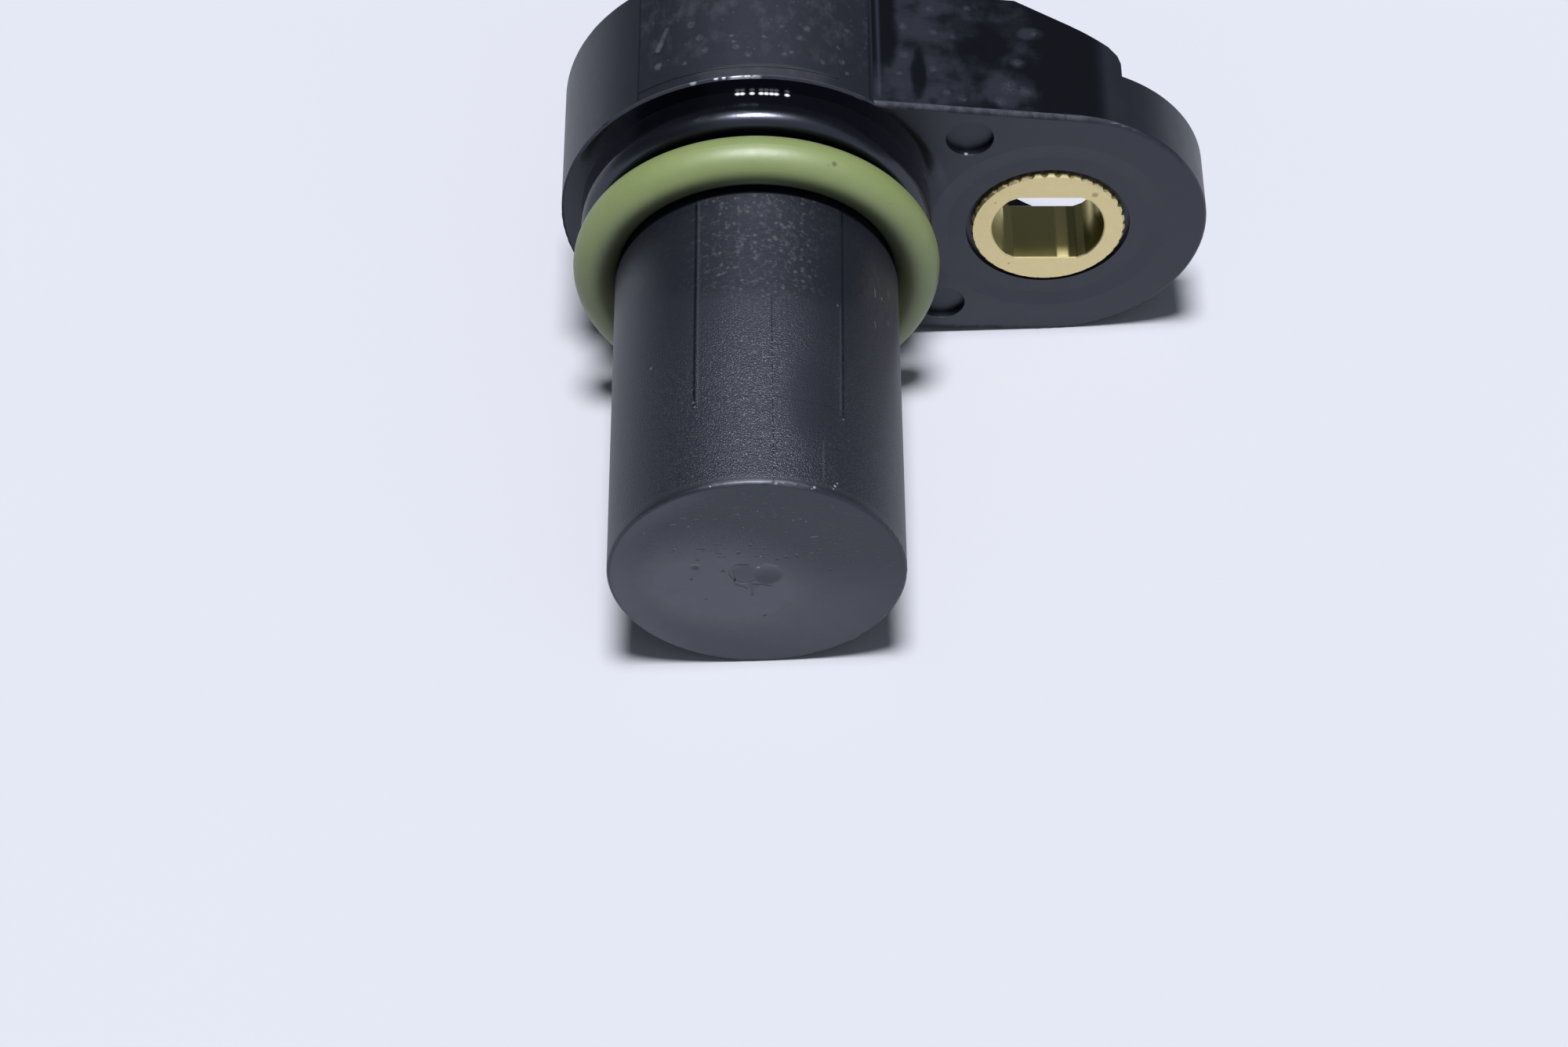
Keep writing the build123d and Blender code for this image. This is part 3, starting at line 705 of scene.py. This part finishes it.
def ear_marks(g, radial, base, rough, skin):
    """The ear and everything behind it: matt clouds, dust and dark patches on the ear's long edges, and painted
    highlights at the root, along the front edge and at an ejector mark.
    """
    tall = g.math("ABSOLUTE", g.z)
    ear_edge = 10.733 - 0.0344 * (g.x - 6.6)                    # height of the ear's long edges
    on = g.step(tall - ear_edge, -0.3, -0.05) * g.step(g.x, 6.4, 6.7) * g.step(g.y, 0.16, 0.3)
    corner = g.step(tall - ear_edge, -0.45, -0.25) * g.step(g.x, 6.4, 6.9) * g.step(g.y, 0.30, 0.22)
    face = g.step(g.y, 0.10, 0.02) * g.step(radial, 11.28, 11.38) * g.step(radial, 12.9, 12.3) * g.step(g.z, 2.0, 6.0)
    top = on * g.step(g.z, 8.0, 9.0)
    cloud = g.noise(0.62, 4.0, 0.55, shift=(4, 2, 9))
    cloud = cloud + 0.20 * g.step(g.x, 13.2, 10.2) - 0.45 * g.step(g.x, 8.5, 7.6) * g.step(g.y, 2.0, 5.0)
    cloud = cloud - 0.30 * g.flat(g.x, g.y, 9.5, 2.8, 0.45, 1.9, 0.4) - 0.14 * g.flat(g.x, g.y, 13.6, 5.6, 1.7, 2.2, 0.5)
    cloud = cloud + 0.22 * g.flat(g.x, g.y, 15.3, 1.9, 1.7, 1.1, 0.4) + 0.12 * g.flat(g.x, g.y, 12.0, 1.1, 1.6, 0.9, 0.5)
    cloud = cloud + 0.34 * g.flat(g.x, g.y, 17.0, 7.1, 1.0, 0.55, 0.4) + 0.26 * g.flat(g.x, g.y, 15.9, 4.4, 0.5, 0.4, 0.5)
    cloud = cloud - 0.55 * g.step(g.x, 16.2, 18.6)
    clouds = g.step(cloud, 0.30, 0.80)

    def spot(x, y, r):
        """Point on the ear's upper long edge, with a mark's radius."""
        return (x, y, 10.733 - 0.0344 * (x - 6.6), r)

    ragged = g.step(g.noise(6.0, 3.0, 0.6, shift=(2, 2, 9)), 0.30, 0.62)
    pale = g.near(
        0.2,
        spot(8.59, 6.95, 0.22), spot(10.52, 6.6, 0.2), spot(11.81, 6.31, 0.16), spot(10.37, 8.67, 0.2),
        spot(12.77, 8.98, 0.2), spot(8.64, 4.44, 0.22), spot(8.27, 2.78, 0.18), spot(10.42, 3.34, 0.2),
        spot(11.21, 1.4, 0.22), spot(12.26, 0.95, 0.2), spot(15.3, 2.19, 0.42), spot(16.15, 2.0, 0.34),
        spot(14.6, 0.95, 0.28), spot(17.04, 7.12, 0.16), spot(15.88, 4.46, 0.18),
        soft=0.9,
    )
    dark = g.near(
        0.3,
        spot(7.73, 6.99, 0.45), spot(9.52, 3.52, 0.35), spot(9.52, 1.77, 0.4), spot(10.34, 0.57, 0.25),
        spot(13.51, 5.64, 0.5),
        soft=0.7,
    )
    dark = g.most(dark, g.step(g.x, 8.05, 7.9) * g.step(g.x, 6.95, 7.1) * g.step(g.y, 4.6, 5.2))
    root_line = g.line(g.x, 6.52, 0.28) * g.step(g.y, 0.3, 1.0)
    # A painted highlight along the ear's junction with the head.
    root_painted_highlight = g.line(g.x, 6.98, 0.2) * g.step(g.y, 0.3, 1.0)
    # Beaded painted highlight along the ear's front edge.
    painted_edge_beads = g.step(g.noise(2.2, 3.0, 0.6, shift=(6, 2, 2)), 0.34, 0.62) * g.step(g.x, 20.8, 19.4)
    base = g.mix(face, base, (0.0008, 0.0009, 0.0014))
    base = g.mix(on, base, (0.0012, 0.0013, 0.0020))
    base = g.mix(on * clouds, base, (0.0058, 0.0062, 0.0100))
    base = g.mix(top * pale * ragged * 0.6, base, (0.030, 0.031, 0.042))
    base = g.mix(top * root_painted_highlight * 0.6, base, (0.018, 0.020, 0.030))
    base = g.mix(corner * painted_edge_beads, base, (0.020, 0.021, 0.026))
    # A painted glint at the lower edge of an ejector mark.
    base = g.mix(g.near(0.1, (12.9, 0.12, 6.42), soft=0.6) * 0.9, base, (0.30, 0.30, 0.33))
    rough = g.blend(on, rough, 0.18 + 0.18 * clouds)
    rough = g.blend(top * g.most(dark, root_line) * 0.8, rough, 0.14)
    rough = g.blend(corner, rough, 0.85)
    rough = g.blend(face, rough, 0.14)
    rough = g.blend(g.step(g.y, 10.2, 10.8), rough, 0.62 + 0.08 * g.noise(1.4, 4.0, 0.6, shift=(2, 7, 1)))   # connector, plain
    return base, rough, skin


def region_of(middle):
    """Which finish a face takes, from its middle in millimetres."""
    x, y, z = middle.T
    r = np.hypot(x, z)
    found = np.full(len(middle), 4)
    found[(y > 0.0005) & (r > 12.1) & (r < 13.0) & (x < 6.58)] = 3
    found[(y < -0.001) & (y > -6.45)] = 2
    found[y <= -6.45] = 1
    found[(y < -28.999) | ((y < -28.8) & (r < 3.0))] = 0
    return found


finishes = [plastic(region) for region in ("tip", "barrel", "collar", "head", "ear")]
wear("housing", finishes[4])
smooth_copy("housing", "housing_plastic", (3.0, 3.0, 5.5), *finishes, place=region_of)

# ---- O-ring ---------------------------------------------------------------
g = Graph("seal_rubber_finish")
radial = g.math("SQRT", g.x * g.x + g.z * g.z)
cloud = g.noise(0.5, 4.0, 0.6)
base = g.mix(cloud, (0.116, 0.146, 0.050), (0.138, 0.171, 0.064))
# Painted shade: darker on the inner side, towards the groove and the probe.
base = g.mix(g.step(radial, 10.9, 9.6), base, (0.045, 0.052, 0.022))
specks = g.near(0.16, (4.05, -5.4, 10.86), (3.7, -5.6, 10.95, 0.1), soft=0.5)
base = g.mix(specks * 0.7, base, (0.030, 0.028, 0.014))
base = g.mix(g.specks(1.7, 0.22, 0.09, shift=(1, 2, 3)) * 0.35, base, (0.050, 0.056, 0.030))
height = 0.004 * g.noise(4.0, 3.0, 0.6) + 0.012 * g.noise(0.8, 2.0, 0.5)
seal_mat = g.finish(base, 0.44 + 0.10 * g.noise(1.5, 3.0, 0.6), height, IOR=1.5, Specular_IOR_Level=0.62)
wear("o_ring", seal_mat)
smooth_copy("o_ring", "seal_rubber", (3.0, 3.0), seal_mat)

# ---- brass bush -----------------------------------------------------------
g = Graph("bush_brass_finish")
across_hole = g.math("SQRT", (g.x - 19.0) * (g.x - 19.0) + g.z * g.z)
in_hole = g.step(across_hole, 3.78, 3.66) * g.step(g.y, -0.07, 0.0)
turning = g.noise(1.2, 5.0, 0.7)
base = g.mix(turning, (0.68, 0.57, 0.29), (0.77, 0.66, 0.37))
# Inside the bore the brass is painted darker and more olive: painted shade.
base = g.mix(in_hole, base, (0.60, 0.54, 0.22))
hole_x, hole_z = g.x - 19.0, g.z
# Inside the bore: lighter painted highlight bands and dark painted shade gaps.
band = in_hole * g.span(hole_x, 1.0, 1.75, 0.2) * g.step(hole_z, -1.6, -2.1)
band = g.most(band, 0.9 * in_hole * g.span(hole_x, 2.45, 3.1, 0.3) * g.step(hole_z, -2.0, -0.8))
band = g.most(band, 0.7 * in_hole * g.step(hole_x, -2.45, -2.75))
hole_painted_shade = in_hole * g.most(g.span(hole_x, 1.8, 2.35, 0.15), g.step(hole_x, 3.15, 3.4))
base = g.mix(band, base, (0.78, 0.68, 0.36))
base = g.mix(hole_painted_shade * 0.6, base, (0.22, 0.17, 0.06))
face_marks = g.near(0.12, (16.9, -0.1, -3.6, 0.08), (21.6, -0.1, 3.4, 0.2), (15.3, -0.1, 2.2, 0.07), soft=0.6) * (1.0 - in_hole)
base = g.mix(face_marks * 0.6, base, (0.20, 0.15, 0.09))
height = 0.003 * g.noise(6.0, 3.0, 0.6) + 0.002 * g.noise(2.0, 3.0, 0.6, stretch=(1, 0.2, 1))
rough = g.blend(in_hole, 0.38 + 0.1 * g.noise(2.0, 3.0, 0.6), 0.20 + 0.30 * band + 0.10 * g.noise(2.4, 3.0, 0.6, stretch=(1, 0.2, 1)))
brass_mat = g.finish(base, rough, height, Metallic=1.0)
wear("mounting_bush", brass_mat)
smooth_copy("mounting_bush", "bush_brass", (3.0, 3.0), brass_mat)


def plain_metal(name, light, dark, rough, metal=1.0):
    g = Graph(name)
    base = g.mix(g.noise(1.6, 4.0, 0.6, stretch=(1, 0.25, 1)), dark, light)
    height = 0.002 * g.noise(9.0, 3.0, 0.6, stretch=(1, 0.15, 1))
    return g.finish(base, rough + 0.12 * g.noise(3.0, 3.0, 0.6), height, Metallic=metal)


def plain_solid(name, light, dark, rough):
    g = Graph(name)
    base = g.mix(g.noise(1.1, 4.0, 0.6), dark, light)
    height = 0.004 * g.noise(6.0, 3.0, 0.6)
    return g.finish(base, rough + 0.1 * g.noise(2.0, 3.0, 0.6), height)


tin = plain_metal("tinned_bronze_finish", (0.74, 0.73, 0.70), (0.60, 0.59, 0.56), 0.26)
for part in ("terminal_supply", "terminal_signal", "terminal_ground"):
    wear(part, tin)
lead = plain_metal("tinned_lead_finish", (0.76, 0.76, 0.75), (0.62, 0.62, 0.62), 0.22)
for part in ("chip_lead_supply", "chip_lead_signal", "chip_lead_ground"):
    wear(part, lead)
wear("pole_plate", plain_metal("soft_iron_finish", (0.42, 0.42, 0.43), (0.28, 0.28, 0.29), 0.34))
wear("bias_magnet", plain_metal("magnet_finish", (0.50, 0.49, 0.47), (0.38, 0.37, 0.36), 0.3))
wear("sensor_carrier", plain_solid("carrier_plastic_finish", (0.020, 0.022, 0.026), (0.013, 0.014, 0.017), 0.5))
wear("hall_chip", plain_solid("chip_body_finish", (0.018, 0.018, 0.020), (0.011, 0.011, 0.012), 0.55))
ceramic = plain_solid("capacitor_ceramic_finish", (0.36, 0.24, 0.13), (0.28, 0.18, 0.09), 0.45)
for part in ("capacitor_supply", "capacitor_signal"):
    wear(part, ceramic)

# ---- floor ----------------------------------------------------------------
g = Graph("floor_finish")
base = g.mix(g.noise(0.02, 3.0, 0.5), (0.351, 0.354, 0.385), (0.357, 0.360, 0.391))
floor_mat = g.finish(base, 0.9, None, Specular_IOR_Level=0.0)
floor.data.materials.append(floor_mat)
